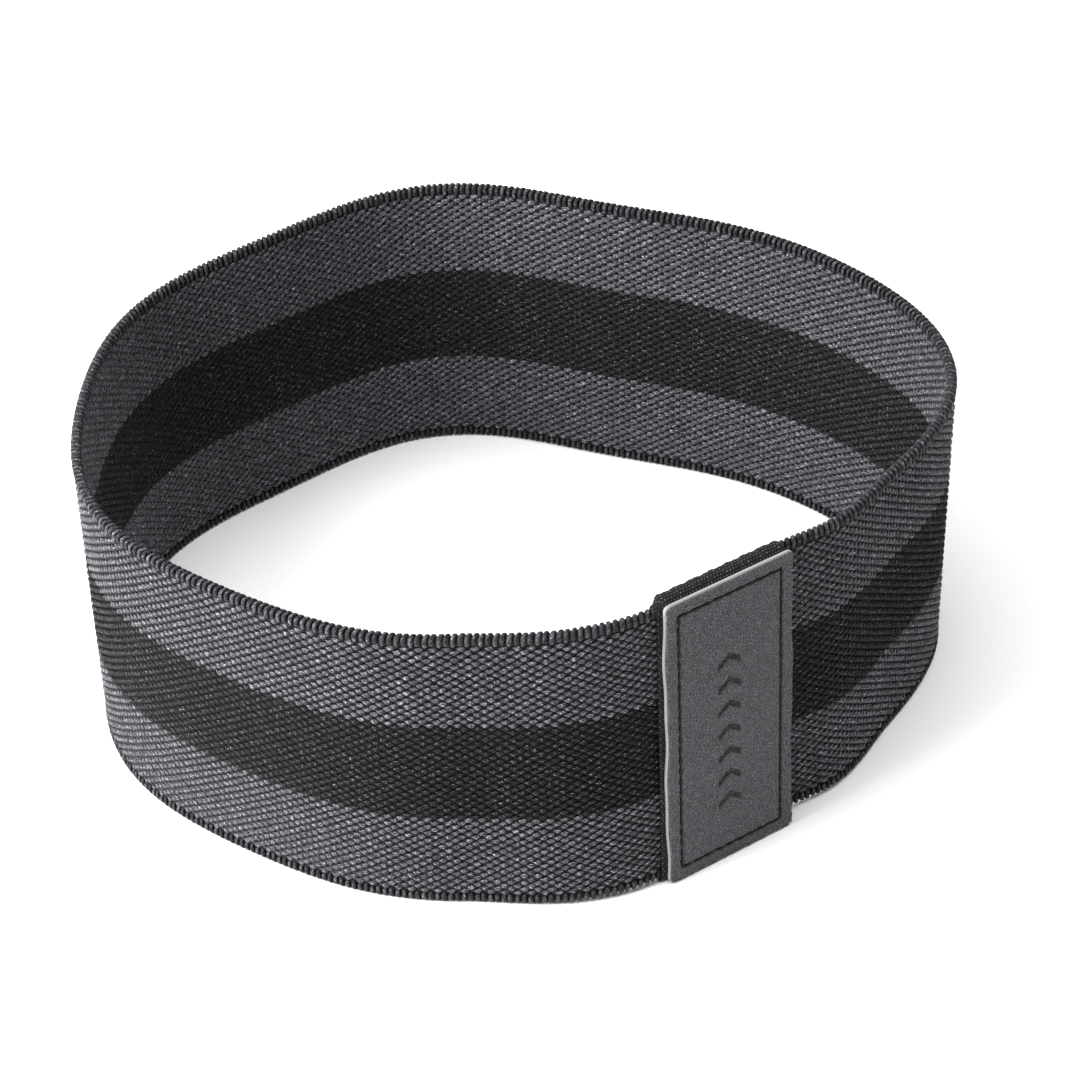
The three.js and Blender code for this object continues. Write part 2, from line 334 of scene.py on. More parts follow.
def band_stations(step):
    """Evenly spaced places along the webbing, as whole steps from the middle of the lap."""
    first = math.ceil(-LAP_HALF_LENGTH / step)
    last = math.floor((LOOP_LENGTH + LAP_HALF_LENGTH) / step)
    return np.arange(first, last + 1)


# ---------------------------------------------------------------- materials


def rgb(colour):
    """A colour given as 0 to 255 in sRGB, or one grey number, as a linear RGBA colour."""
    values = colour if isinstance(colour, tuple) else (colour,) * 3
    return tuple(((v / 255 + 0.055) / 1.055) ** 2.4 if v > 10 else v / 3294 for v in values) + (1,)


class Shader:
    """A node material under construction."""

    def __init__(self, name):
        self.material = bpy.data.materials.new(name)
        self.material.use_nodes = True
        self.tree = self.material.node_tree
        self.tree.nodes.clear()

    def node(self, kind, inputs=None, **settings):
        made = self.tree.nodes.new("ShaderNode" + kind)
        for key, value in settings.items():
            setattr(made, key, value)
        for key, value in (inputs or {}).items():
            socket = made.inputs[key]
            if isinstance(value, bpy.types.NodeSocket):
                self.tree.links.new(value, socket)
            else:
                socket.default_value = value
        return made

    def lay(self):
        """Where a point lies on the material before it was bent to shape, in millimetres."""
        return self.node("Attribute", attribute_name="lay").outputs["Vector"]

    def rise(self):
        """A value stored at each point, from 0 to about 1: painted light and shade on the yarns and
        ribs, painted shade in the label's stitch furrow with darker chevrons, and how far up a loop
        each point of the tape lies.
        """
        return self.node("Attribute", attribute_name="rise").outputs["Fac"]

    def place(self):
        return self.node("TexCoord").outputs["Object"]

    def maths(self, operation, *values):
        inputs = dict(enumerate(values))
        return self.node("Math", inputs, operation=operation).outputs[0]

    def scaled(self, vector, scale):
        inputs = {0: vector, 1: scale}
        return self.node("VectorMath", inputs, operation="MULTIPLY").outputs[0]

    def noise(self, vector, detail, roughness=0.5, scale=1.0):
        inputs = {"Vector": vector, "Scale": scale, "Detail": detail, "Roughness": roughness}
        return self.node("TexNoise", inputs).outputs["Fac"]

    def ramp(self, factor, *stops):
        made = self.node("ValToRGB", {0: factor})
        elements = made.color_ramp.elements
        while len(elements) < len(stops):
            elements.new(0.5)
        for element, (place, colour) in zip(elements, stops):
            element.position = place
            element.color = rgb(colour)
        return made.outputs[0]

    def ranged(self, value, low, high, start, end):
        inputs = {0: value, 1: low, 2: high, 3: start, 4: end}
        return self.node("MapRange", inputs).outputs[0]

    def mix(self, factor, first, second, blend="MIX"):
        inputs = {0: factor, 6: first, 7: second}
        return self.node("Mix", inputs, data_type="RGBA", blend_type=blend).outputs[2]

    def lit(self, colour, brightness):
        """A colour times a brightness, where 1 leaves it as it is."""
        grey = self.node("CombineColor", {0: brightness, 1: brightness, 2: brightness})
        return self.mix(1.0, colour, grey.outputs[0], "MULTIPLY")

    def bump(self, height, strength, distance):
        inputs = {"Height": height, "Strength": strength, "Distance": distance}
        return self.node("Bump", inputs).outputs[0]

    def finish(self, colour, roughness, normal=None, sheen=0.0, specular=0.5):
        inputs = {
            "Base Color": colour,
            "Roughness": roughness,
            "Sheen Weight": sheen,
            "Sheen Roughness": 0.4,
            "Specular IOR Level": specular,
        }
        if normal is not None:
            inputs["Normal"] = normal
        principled = self.node("BsdfPrincipled", inputs)
        self.node("OutputMaterial", {"Surface": principled.outputs[0]})
        return self.material


def yarn_material(name, tones, roughness, sheen=0.1):
    """Spun filament yarn: twisted fibres of mixed tones, with the painted light and shade that each
    piece carries, darkest where a warp yarn dips into the weave.
    tones are the fibres' colours from the darkest to the few light flecks."""
    s = Shader(name)
    lay = s.lay()
    fibres = s.noise(s.scaled(lay, (1.6, 1.0, 5.0)), detail=3.0, roughness=0.7)
    blotches = s.noise(s.scaled(lay, (0.35, 0.9, 0.0)), detail=2.0)
    melange = s.ramp(fibres, *zip(YARN_STOPS, tones))
    shade = s.ranged(blotches, 0.3, 0.7, 0.7, 1.3)
    # painted light and shade from the piece's rise, times the blotches' own tone
    depth = s.maths("MULTIPLY", shade, s.ranged(s.rise(), 0.28, 0.80, 0.0, 1.18))
    rough = s.ranged(fibres, 0.3, 0.8, roughness + 0.1, roughness - 0.12)
    normal = s.bump(fibres, 0.5, 0.00012)
    return s.finish(s.lit(melange, depth), rough, normal, sheen=sheen, specular=0.17)


def rubber_material():
    s = Shader("rubber")
    streaks = s.noise(s.scaled(s.place(), (90.0, 90.0, 1400.0)), detail=3.0)
    colour = s.ramp(streaks, (0.3, 22), (0.7, 40))
    rough = s.ranged(streaks, 0.3, 0.7, 0.6, 0.8)
    return s.finish(colour, rough, s.bump(streaks, 0.4, 0.0001))


def knit_material():
    """Fine black knit with light flecks on the crowns of its loops."""
    s = Shader("knitted_tape")
    lay = s.lay()
    fibres = s.noise(s.scaled(lay, (7.0, 7.0, 0.0)), detail=3.0, roughness=0.7)
    base = s.ramp(fibres, (0.35, (6, 6, 6)), (0.55, (20, 19, 19)), (0.7, (44, 43, 42)))
    crowns = s.ranged(s.rise(), 0.7, 1.0, 0.0, 1.0)
    cells = s.noise(s.scaled(lay, (1.15, 1.15, 0.0)), detail=0.0)
    flecks = s.maths("MULTIPLY", crowns, s.ranged(cells, 0.45, 0.6, 0.15, 0.9))
    colour = s.mix(flecks, base, rgb((190, 190, 188)))
    normal = s.bump(fibres, 0.6, 0.00015)
    return s.finish(colour, 0.8, normal, sheen=0.03, specular=0.15)


def leather_material():
    """Fine-grained coated leather, matt, with lighter grain tops and a furrow painted near black as
    shade.
    """
    s = Shader("label_leather")
    lay = s.lay()
    cells = s.node("TexVoronoi", {"Vector": lay, "Scale": 1.5}, feature="DISTANCE_TO_EDGE")
    pebbles = s.ranged(cells.outputs["Distance"], 0.0, 0.3, 0.0, 1.0)
    fine = s.noise(lay, detail=4.0, roughness=0.65, scale=3.2)
    grain = s.maths("ADD", s.maths("MULTIPLY", pebbles, 0.7), s.maths("MULTIPLY", fine, 0.6))
    tone = s.ramp(grain, (0.35, (60, 59, 62)), (0.65, (86, 84, 89)), (1.0, (108, 106, 112)))
    # painted shade makes the stitch furrow near black; the debossed chevrons are darker too
    colour = s.lit(tone, s.ranged(s.rise(), 0.15, 1.0, 0.02, 1.0))
    rough = s.ranged(fine, 0.3, 0.7, 0.62, 0.48)
    return s.finish(colour, rough, s.bump(grain, 1.0, 0.0005), specular=0.4)


def core_material():
    """The label's pale cut edge, fibrous and a little uneven."""
    s = Shader("label_core")
    fibres = s.noise(s.scaled(s.lay(), (2.5, 2.5, 9.0)), detail=4.0, roughness=0.7)
    colour = s.ramp(fibres, (0.3, 104), (0.7, 160))
    return s.finish(colour, 0.8, s.bump(fibres, 0.5, 0.0001), sheen=0.1)


def thread_material():
    s = Shader("sewing_thread")
    plies = s.noise(s.scaled(s.lay(), (4.0, 4.0, 8.0)), detail=2.0)
    colour = s.ramp(plies, (0.3, 4), (0.7, 14))
    rough = s.ranged(plies, 0.3, 0.7, 0.45, 0.65)
    return s.finish(colour, rough, s.bump(plies, 0.5, 0.0001), specular=0.2)


def floor_material():
    s = Shader("floor")
    mottle = s.noise(s.place(), detail=3.0, scale=6.0)
    return s.finish(s.ramp(mottle, (0.3, 243), (0.7, 246)), 0.7, specular=0.2)


YARN_STOPS = (0.36, 0.48, 0.60, 0.72)  # where the four tones of a yarn lie in its noise
GREY_TONES = ((13, 12, 15), (49, 48, 53), (92, 91, 97), (205, 204, 210))
BLACK_TONES = ((4, 4, 5), (9, 9, 11), (26, 26, 29), (150, 150, 152))
SELVEDGE_TONES = ((11, 11, 12), (42, 41, 46), (84, 83, 90), (200, 200, 203))
WEFT_TONES = ((6, 6, 7), (12, 12, 13), (20, 20, 21), (28, 28, 29))

grey_yarn = yarn_material("grey_yarn", GREY_TONES, 0.62)
black_yarn = yarn_material("black_yarn", BLACK_TONES, 0.7, sheen=0.0)
selvedge_yarn = yarn_material("selvedge_yarn", SELVEDGE_TONES, 0.6, sheen=0.05)
weft_yarn = yarn_material("weft_yarn", WEFT_TONES, 0.8)
rubber = rubber_material()
knit = knit_material()
leather = leather_material()
core = core_material()
thread = thread_material()


# ---------------------------------------------------------------- webbing


def warp_bundle(name, side, rows, material, node, seed):
    """Warp yarns of one stripe: each floats over one pick and dips under the next.
    side is 1 on the outer face and -1 on the inner face."""
    rng = np.random.default_rng(seed)
    steps = band_stations(PICK / STATIONS_PER_PICK)
    along = steps * PICK / STATIONS_PER_PICK
    half_turns = steps / STATIONS_PER_PICK + rows[:, None]
    float_number = np.floor((half_turns + 1) / 2).astype(int)
    float_number -= float_number.min()
    row_number = np.arange(len(rows))[:, None]

    def per_float(spread):
        drawn = rng.uniform(-spread, spread, (len(rows), float_number.max() + 1))
        return drawn[row_number, float_number]

    to_end = side * np.sin(math.pi * half_turns)
    from_middle = np.arccos(np.cos(math.pi * (half_turns + FLOAT_SKEW * to_end))) / math.pi
    crest = 1 - from_middle ** FLOAT_BLUNTNESS
    half_width = DIP_HALF_WIDTH + CREST_WIDENING * crest * (1 + per_float(WIDTH_UNEVENNESS))
    middle = DIP_OUTWARD + (CREST_RISE + per_float(RISE_UNEVENNESS)) * crest
    half_thickness = DIP_HALF_THICKNESS + CREST_THICKENING * crest
    slant = FLOAT_SLANT * to_end + per_float(PLACE_UNEVENNESS) * crest
    height = SELVEDGE_HEIGHT + (rows[:, None] + 0.5) * ROW_PITCH + slant
    shape = (*crest.shape, YARN_SIDES)
    flat = np.empty((*shape, 3))
    flat[..., 0] = np.broadcast_to(along[None, :, None], shape)
    flat[..., 1] = height[..., None] + side * half_width[..., None] * YARN_ACROSS
    flat[..., 2] = side * (middle[..., None] + half_thickness[..., None] * YARN_OUT)
    lay = np.empty_like(flat)
    lay[..., 0] = flat[..., 0]
    lay[..., 1] = height[..., None] * FIBRE_SPREAD + side * FACE_SPREAD
    lay[..., 2] = FIBRE_ROUND * np.radians(YARN_CORNERS) - FIBRE_TWIST * side * flat[..., 0]
    # Painted light and shade on each float: darker in its dips and at corners close to the
    # neighbouring yarns, darker at one end and on its lower side, lighter at the other end and on
    # its upper side.
    painted_side_light = YARN_PAINTED_LIGHT * (1 + PAINTED_SIDE_SHADE * side * np.array(YARN_ACROSS))
    rise = (crest * (1 - PAINTED_END_SHADE * to_end))[..., None] * painted_side_light
    faces = tube_faces(len(rows), len(steps), YARN_SIDES)
    values = {"lay": lay, "rise": rise}
    return new_piece(name, as_webbing(flat), faces, material, [node], values)


def strip(name, section, step, nodes, wave=0.0):
    """A closed strip of weft as long as the webbing, from a section of height and outward points.
    wave moves it in and out with each pick."""
    steps = band_stations(step)
    along = steps * step
    ripple = wave * np.cos(2 * math.pi * along / PICK)
    section = np.array(section, float)
    flat = np.empty((len(steps), len(section), 3))
    flat[..., 0] = along[:, None]
    flat[..., 1] = section[:, 0]
    flat[..., 2] = section[:, 1] + np.sign(section[:, 1]) * ripple[:, None]
    faces = tube_faces(1, len(steps), len(section))
    values = {"lay": flat, "rise": np.ones(flat.shape[:2])}
    return new_piece(name, as_webbing(flat), faces, weft_yarn, nodes, values)


def add_webbing():
    lower = round((WEBBING_WIDTH - CENTRE_STRIPE) / 2 / ROW_PITCH - SELVEDGE_HEIGHT / ROW_PITCH)
    stripes = [
        ("lower", 0, lower, grey_yarn, "grey_webbing"),
        ("centre", lower, ROWS - lower, black_yarn, "black_webbing"),
        ("upper", ROWS - lower, ROWS, grey_yarn, "grey_webbing"),
    ]
    ground_low, ground_high = GROUND_INSET, WEBBING_WIDTH - GROUND_INSET
    step = PICK / GROUND_STATIONS_PER_PICK
    for label, side in (("outer", 1), ("inner", -1)):
        for stripe, first, last, material, slot in stripes:
            middle = (first + last) // 2
            node = f"{label}_face_{stripe}"
            for half, start, stop in (("a", first, middle), ("b", middle, last)):
                name = f"{label}_warp_{stripe}_{half}"
                rows = np.arange(start, stop)
                seed = abs(100 * start + side) + 5
                warp_bundle(name, side, rows, material, node, seed)
        low, high = sorted((GROUND_BACK * side, GROUND_FRONT * side))
        section = [(ground_low, high), (ground_high, high), (ground_high, low), (ground_low, low)]
        nodes = [f"{label}_face_{stripe[0]}" for stripe in stripes]
        name = f"{label}_weft_ground"
        ground = strip(name, section, step, nodes, GROUND_WAVE)


def finish_rubber():
    for name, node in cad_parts.items():
        if name.startswith("rubber_thread"):
            node.data.materials.clear()
            node.data.materials.append(rubber)


# ---------------------------------------------------------------- selvedges


def rib_path(length):
    """One weft loop round the edge, outer side first, as height above the edge and outward."""
    ends = [(-length, RIB_END_OUTWARD), (-length + RIB_FOOT, RIB_FOOT_OUTWARD)]
    outer = [*ends, *RIB_LEG, RIB_SHOULDER, (-RIB_HALF_THICKNESS, 0.0)]
    inner = [(height, -outward) for height, outward in outer[-2::-1]]
    return np.array(outer + inner)


def add_selvedge(end, edge, up, seed):
    """Ribs and core of the selvedge at one edge's height. up is 1 at the top and -1 below."""
    node = f"selvedge_{end}"
    rng = np.random.default_rng(seed)
    picks = band_stations(PICK)
    count = len(picks)
    lengths = RIB_LENGTH + RIB_STAGGER * ((picks + (up > 0)) % 2)
    paths = np.stack([rib_path(length) for length in lengths])
    paths[..., 0] += rng.uniform(-RIB_SHORTFALL, 0.0, (count, 1))
    tangent = np.gradient(paths, axis=1)
    tangent /= np.linalg.norm(tangent, axis=-1, keepdims=True)
    normal = np.stack([-tangent[..., 1], tangent[..., 0]], axis=-1)
    normal = np.where(tangent[:, :1, :1] > 0, -normal, normal)
    stations = paths.shape[1]
    taper = np.ones(stations)
    taper[[0, -1]] = RIB_END_TAPER
    taper[[1, -2]] = RIB_FOOT_TAPER
    uneven = rng.uniform(-RIB_UNEVENNESS, RIB_UNEVENNESS, (count, 1))
    wide = RIB_HALF_WIDTH * taper * (1 + uneven)
    thick = RIB_HALF_THICKNESS * taper * (1 + RIB_THICKER * (picks % 2)[:, None])
    shift = rng.uniform(-RIB_UNEVENNESS, RIB_UNEVENNESS, (count, 1))
    along = picks[:, None] * PICK - RIB_LEAN * paths[..., 1] + shift
    angle = 2 * math.pi * np.arange(RIB_SIDES) / RIB_SIDES
    cos, sin = np.cos(angle), np.sin(angle)
    flat = np.empty((count, stations, RIB_SIDES, 3))
    flat[..., 0] = along[..., None] - up * wide[..., None] * cos
    flat[..., 1] = edge + up * (paths[..., 0, None] + thick[..., None] * normal[..., 0, None] * sin)
    flat[..., 2] = paths[..., 1, None] + thick[..., None] * normal[..., 1, None] * sin
    lay = np.empty_like(flat)
    lay[..., 0] = flat[..., 1] + flat[..., 2]
    lay[..., 1] = along[..., None] * RIB_FIBRE_SPREAD + EDGE_SPREAD * up
    lay[..., 2] = RIB_FIBRE_ROUND * angle + RIB_FIBRE_TWIST * flat[..., 1]
    # Painted light and shade round each rib: lighter on its outer side, darker on the side towards
    # the core, capped lower on every other rib.
    most = np.where(picks % 2 == 0, EVEN_RIB_LIGHT, ODD_RIB_LIGHT)[:, None, None]
    light = RIB_PAINTED_FLANK_LIGHT - RIB_PAINTED_TOP_LIGHT * sin
    rise = np.minimum(light, most) * np.ones(flat.shape[:3])
    faces = tube_faces(count, stations, RIB_SIDES)
    values = {"lay": lay, "rise": rise}
    name = f"selvedge_ribs_{end}"
    new_piece(name, as_webbing(flat), faces, selvedge_yarn, [node], values)
    low, high = sorted((edge - up * CORE_DEPTH, edge - up * CORE_TOP))
    at_low, at_high = (CORE_WIDE, CORE_NARROW) if up > 0 else (CORE_NARROW, CORE_WIDE)
    section = [(low, at_low), (high, at_high), (high, -at_high), (low, -at_low)]
    strip(f"{name}_core", section, PICK, [node])


# ---------------------------------------------------------------- tape


def sleeve_path():
    """The sleeve's outer line as outward and height, from its slit up, over and round."""
    straight_high, straight_low = TAPE_HIGH - TAPE_ROUNDING, TAPE_LOW + TAPE_ROUNDING
    middle = (TAPE_LOW + TAPE_HIGH) / 2
    turn = np.linspace(0, math.pi / 2, TAPE_CORNER_POINTS)
    points = [(TAPE_OUTSIDE, middle + TAPE_SLIT_HALF)]
    for out, up in ((1, 1), (-1, 1), (-1, -1), (1, -1)):
        centre_out = out * ((TAPE_OUTSIDE if out > 0 else TAPE_INSIDE) - TAPE_ROUNDING)
        centre_height = straight_high if up > 0 else straight_low
        for angle in turn if out == up else turn[::-1]:
            corner_out = centre_out + out * TAPE_ROUNDING * math.cos(angle)
            points.append((corner_out, centre_height + up * TAPE_ROUNDING * math.sin(angle)))
    points.append((TAPE_OUTSIDE, middle - TAPE_SLIT_HALF))
    return np.array(points)


def knit_loops(run, along):
    """How far each point of the tape lies up on a knitted loop, from 0 to 1."""
    course = np.cos(2 * math.pi * run / KNIT_PITCH)
    stagger = math.pi * np.round(run / KNIT_PITCH)
    wale = np.cos(2 * math.pi * along / KNIT_PITCH + stagger)
    return 0.5 + 0.25 * course + 0.25 * wale


def tape_depth(run, along, out, height, loops):
    """How far each point of the tape lies under its outer line."""
    from_edge = np.minimum(along - TAPE_LEFT, TAPE_RIGHT - along)
    rounding = TAPE_EDGE_ROUNDING * (1 - np.clip(from_edge / TAPE_EDGE_WIDTH, 0, 1)) ** 2
    near_stitch = np.exp(-((stitch_distance(along, height) / PULL_WIDTH) ** 2))
    pulled = np.where(out < 0, PULL_DEPTH * near_stitch, 0)
    wander = LONG_WAVE_WANDER * np.sin(run * WANDER_RATE)
    wave = LONG_WAVE * np.sin(along * LONG_WAVE_RATE + wander)
    wave += SHORT_WAVE * np.sin(along * SHORT_WAVE_RATE + SHORT_WAVE_PHASE)
    return KNIT_DEPTH * (1 - loops) + rounding + pulled + wave


def add_tape():
    line = sleeve_path()
    length = path_length(line)
    rows = round(length[-1] / KNIT_STEP)
    columns = round((TAPE_RIGHT - TAPE_LEFT) / KNIT_STEP) + 1
    run = np.linspace(0, length[-1], rows)
    out, height = (np.interp(run, length, line[:, i]) for i in (0, 1))
    direction = np.gradient(np.column_stack([out, height]), axis=0)
    direction /= np.linalg.norm(direction, axis=1, keepdims=True)
    normal = np.column_stack([direction[:, 1], -direction[:, 0]])
    along = np.linspace(TAPE_LEFT, TAPE_RIGHT, columns)
    grid_run, grid_along = np.meshgrid(run, along, indexing="ij")
    grid_out = np.broadcast_to(out[:, None], grid_run.shape)
    grid_height = np.broadcast_to(height[:, None], grid_run.shape)
    loops = knit_loops(grid_run, grid_along)
    sunk = tape_depth(grid_run, grid_along, grid_out, grid_height, loops)
    one_layer = 1 - smoothstep(grid_along, TAPE_LEFT, TAPE_LEFT + ONE_LAYER_WIDTH)
    dropped = ONE_LAYER_DROP * one_layer * (grid_height > (TAPE_LOW + TAPE_HIGH) / 2)
    ring = columns + 2
    flat = np.empty((rows, ring, 3))
    flat[:, :columns, 0] = grid_along
    flat[:, :columns, 1] = grid_height - sunk * normal[:, None, 1] - dropped
    flat[:, :columns, 2] = grid_out - sunk * normal[:, None, 0]
    for column, place in ((columns, TAPE_RIGHT), (columns + 1, TAPE_LEFT)):
        flat[:, column, 0] = place
        flat[:, column, 1] = height - TAPE_THICKNESS * normal[:, 1]
        flat[:, column, 2] = out - TAPE_THICKNESS * normal[:, 0]
    back = np.broadcast_to([0.0, 1.0], (rows, 2))
    hug = ONE_LAYER_HUG * np.concatenate([one_layer, back], axis=1)
    inner_share = np.clip((TAPE_OUTSIDE - flat[..., 2]) / (TAPE_OUTSIDE + TAPE_INSIDE), 0, 1)
    flat[..., 2] += hug * inner_share
    rise = np.full((rows, ring), TAPE_BACK_RISE)
    rise[:, :columns] = loops
    lay = np.zeros((rows, ring, 3))
    lay[..., 0] = flat[..., 0]
    lay[..., 1] = run[:, None]
    faces = tube_faces(1, rows, ring)
    values = {"lay": lay, "rise": rise}
    tape = new_piece("knitted_tape", flat, faces, knit, ["joint_tape"], values)


# ---------------------------------------------------------------- label


def label_inset(along, height, margin=0.0, corner=LABEL_CORNER):
    """Distance inside the label's outline less a margin, negative outside it."""
    dx = np.abs(along) - (LABEL_HALF - margin - corner)
    dz = np.abs(height - LABEL_MIDDLE) - ((LABEL_HIGH - LABEL_LOW) / 2 - margin - corner)
    outside = np.hypot(np.maximum(dx, 0), np.maximum(dz, 0))
    return corner - (outside + np.minimum(np.maximum(dx, dz), 0))


def stitch_distance(along, height):
    """Distance from the rectangle that the label's stitches follow."""
    return np.abs(label_inset(along, height, STITCH_INSET, corner=0))


def label_grid(step, grow=0.0):
    """Flat points of the label, or of one grown by a margin, as a square grid.
    Its corners are drawn in to round it, and its long edges wander."""
    half = LABEL_HALF + grow
    half_height = (LABEL_HIGH - LABEL_LOW) / 2 + grow
    u = np.linspace(-half, half, round(2 * half / step) + 1)
    v = LABEL_MIDDLE + np.linspace(-half_height, half_height, round(2 * half_height / step) + 1)
    along, height = np.meshgrid(u, v, indexing="ij")
    corner = LABEL_CORNER + grow
    over_x = np.abs(along) - (half - corner)
    over_z = np.abs(height - LABEL_MIDDLE) - (half_height - corner)
    both = (over_x > 0) & (over_z > 0)
    ratio = np.ones_like(along)
    longest = np.maximum(over_x, over_z)[both]
    ratio[both] = longest / np.hypot(over_x[both], over_z[both])
    rounded_x = np.sign(along) * (half - corner + over_x * ratio)
    rounded_z = np.sign(height - LABEL_MIDDLE) * (half_height - corner + over_z * ratio)
    along = np.where(both, rounded_x, along)
    height = np.where(both, LABEL_MIDDLE + rounded_z, height)
    wavy = EDGE_WAVE * np.sin(height * EDGE_WAVE_RATE + EDGE_WAVE_PHASE)
    wavy += EDGE_RIPPLE * np.sin(height * EDGE_RIPPLE_RATE + np.sign(along))
    border = np.clip((np.abs(along) - (LABEL_HALF - WAVY_BORDER)) / WAVY_BORDER, 0, 1)
    return along + wavy * border, height


def chevrons(along, height):
    """How far each point lies inside a column of plain debossed chevrons, from 0 to 1."""
    depth = np.zeros_like(along)
    aside = np.abs(along - CHEVRONS_ALONG)
    width = 1 - smoothstep(aside, *CHEVRON_HALF_WIDTH)
    for middle in np.linspace(CHEVRONS_LOW, CHEVRONS_HIGH, CHEVRONS):
        above = np.abs(height - middle + CHEVRON_SLOPE * aside)
        stroke = 1 - smoothstep(above / math.hypot(1, CHEVRON_SLOPE), *CHEVRON_HALF_STROKE)
        depth = np.maximum(depth, stroke * width)
    return depth


def leather_grain(along, height):
    """Small uneven pebbles, under a millimetre across, mostly between -1 and 1."""
    rng = np.random.default_rng(GRAIN_SEED)
    total = np.zeros_like(along)
    for _ in range(GRAIN_WAVES):
        turn, phase = rng.uniform(0, 2 * math.pi, 2)
        pitch = rng.uniform(*GRAIN_PITCH)
        onward = along * math.cos(turn) + height * math.sin(turn)
        total += np.sin(2 * math.pi * onward / pitch + phase)
    return total / GRAIN_SCALE


def slab(name, surface, back, material, node, rise):
    """A closed sheet with a plain back, from its front as a grid of along, height and outward."""
    rows, columns = surface[0].shape
    index = np.arange(rows * columns).reshape(rows, columns)
    front_points = np.stack(surface, axis=-1).reshape(-1, 3)
    rim = np.concatenate([index[:-1, 0], index[-1, :-1], index[:0:-1, -1], index[0, :0:-1]])
    back_points = front_points[rim].copy()
    back_points[:, 2] = back
    flat = np.vstack([front_points, back_points])
    near, far = index[:-1], index[1:]
    front_faces = np.stack([near[:, :-1], far[:, :-1], far[:, 1:], near[:, 1:]], axis=-1)
    behind = rows * columns + np.arange(len(rim))
    walls = np.stack([rim, behind, np.roll(behind, -1), np.roll(rim, -1)], axis=-1)
    faces = [front_faces.reshape(-1, 4), walls, behind[::-1][None, :]]
    values = {"lay": flat, "rise": np.concatenate([rise.ravel(), rise.ravel()[rim]])}
    return new_piece(name, flat, faces, material, [node], values)


def add_leather():
    along, height = label_grid(LEATHER_STEP)
    inset = label_inset(along, height)
    scallop = 0.5 + 0.5 * np.cos(2 * math.pi * (along + height) / STITCH)
    half_width = FURROW_HALF_WIDTH + FURROW_WIDENING * scallop
    furrow = np.exp(-((stitch_distance(along, height) / half_width) ** FURROW_STEEPNESS))
    mark = chevrons(along, height)
    rim = (1 - np.clip(inset / LEATHER_RIM_WIDTH, 0, 1)) ** 2
    front = LABEL_FRONT + GRAIN_DEPTH * leather_grain(along, height)
    front -= FURROW_DEPTH * furrow + CHEVRON_DEPTH * mark + LEATHER_RIM_DEPTH * rim
    front += LABEL_CROWN * smoothstep(inset, CROWN_START, CROWN_END)
    # Painted shade: the stitch furrow is painted near black; the debossed chevrons are darker too
    rise = 1 - np.maximum(furrow, CHEVRON_DARKNESS * mark)
    surface = (along, height, front)
    return slab("label_leather", surface, LABEL_FACE_BACK, leather, "label_face", rise)


def add_core():
    along, height = label_grid(CORE_STEP, grow=BACKING_GROWTH)
    inset = label_inset(along, height) + BACKING_GROWTH
    rim = (1 - np.clip(inset / BACKING_RIM_WIDTH, 0, 1)) ** 2
    front = LABEL_FACE_BACK - BACKING_GAP - BACKING_RIM_DEPTH * rim
    surface, rise = (along, height, front), np.ones_like(along)
    slab("label_core", surface, BACKING_BACK, core, "label_backing", rise)


def stitch_ends():
    """Where each lock stitch round the label starts and ends, as along and height."""
    half = LABEL_HALF - STITCH_INSET
    low, high = LABEL_LOW + STITCH_INSET, LABEL_HIGH - STITCH_INSET
    corners = [(-half, low), (half, low), (half, high), (-half, high)]
    starts, ends = [], []
    for i, (x, z) in enumerate(corners):
        to_x, to_z = corners[(i + 1) % 4]
        count = round(math.hypot(to_x - x, to_z - z) / STITCH)
        share = np.arange(count + 1) / count
        run = np.column_stack([x + (to_x - x) * share, z + (to_z - z) * share])
        starts.append(run[:-1])
        ends.append(run[1:])
    return np.vstack(starts), np.vstack(ends)


def add_stitches(name, node, outward, facing):
    """Lock stitches round the label, each a short length of thread that dips at both ends."""
    start, end = stitch_ends()
    share = np.array(STITCH_STATIONS)
    bulge = np.sin(math.pi * share) ** STITCH_FULLNESS
    centre = start[:, None] + (end - start)[:, None] * share[None, :, None]
    forward = (end - start) / np.linalg.norm(end - start, axis=1, keepdims=True)
    beside = np.column_stack([-forward[:, 1], forward[:, 0]])
    angle = 2 * math.pi * np.arange(STITCH_SIDES) / STITCH_SIDES
    radius = (THREAD_END_RADIUS + THREAD_SWELL * bulge)[None, :, None]
    across = radius * np.cos(angle) * facing
    sunk = (STITCH_DIP * bulge - STITCH_DIP)[None, :, None]
    flat = np.empty((len(start), len(share), STITCH_SIDES, 3))
    flat[..., 0] = centre[..., 0, None] + beside[:, 0, None, None] * across
    flat[..., 1] = centre[..., 1, None] + beside[:, 1, None, None] * across
    flat[..., 2] = outward + facing * (sunk + radius * np.sin(angle))
    flat = flat[:, :, ::-1]
    faces = tube_faces(len(start), len(share), STITCH_SIDES)
    return new_piece(name, flat, faces, thread, [node], {"lay": flat})


def add_label():
    face = add_leather()
    add_core()
    needle = add_stitches("needle_stitches", "needle_thread", LABEL_FRONT - THREAD_SINK, 1)
    add_stitches("bobbin_stitches", "bobbin_thread", -TAPE_INSIDE + THREAD_SINK, -1)


# ---------------------------------------------------------------- stage


def add_floor():
    half = FLOOR_HALF
    mesh = bpy.data.meshes.new("floor")
    corners = [(-half, -half, 0), (half, -half, 0), (half, half, 0), (-half, half, 0)]
    mesh.from_pydata(corners, [], [(0, 1, 2, 3)])
    floor = bpy.data.objects.new("floor", mesh)
    mesh.materials.append(floor_material())
    bpy.context.scene.collection.objects.link(floor)


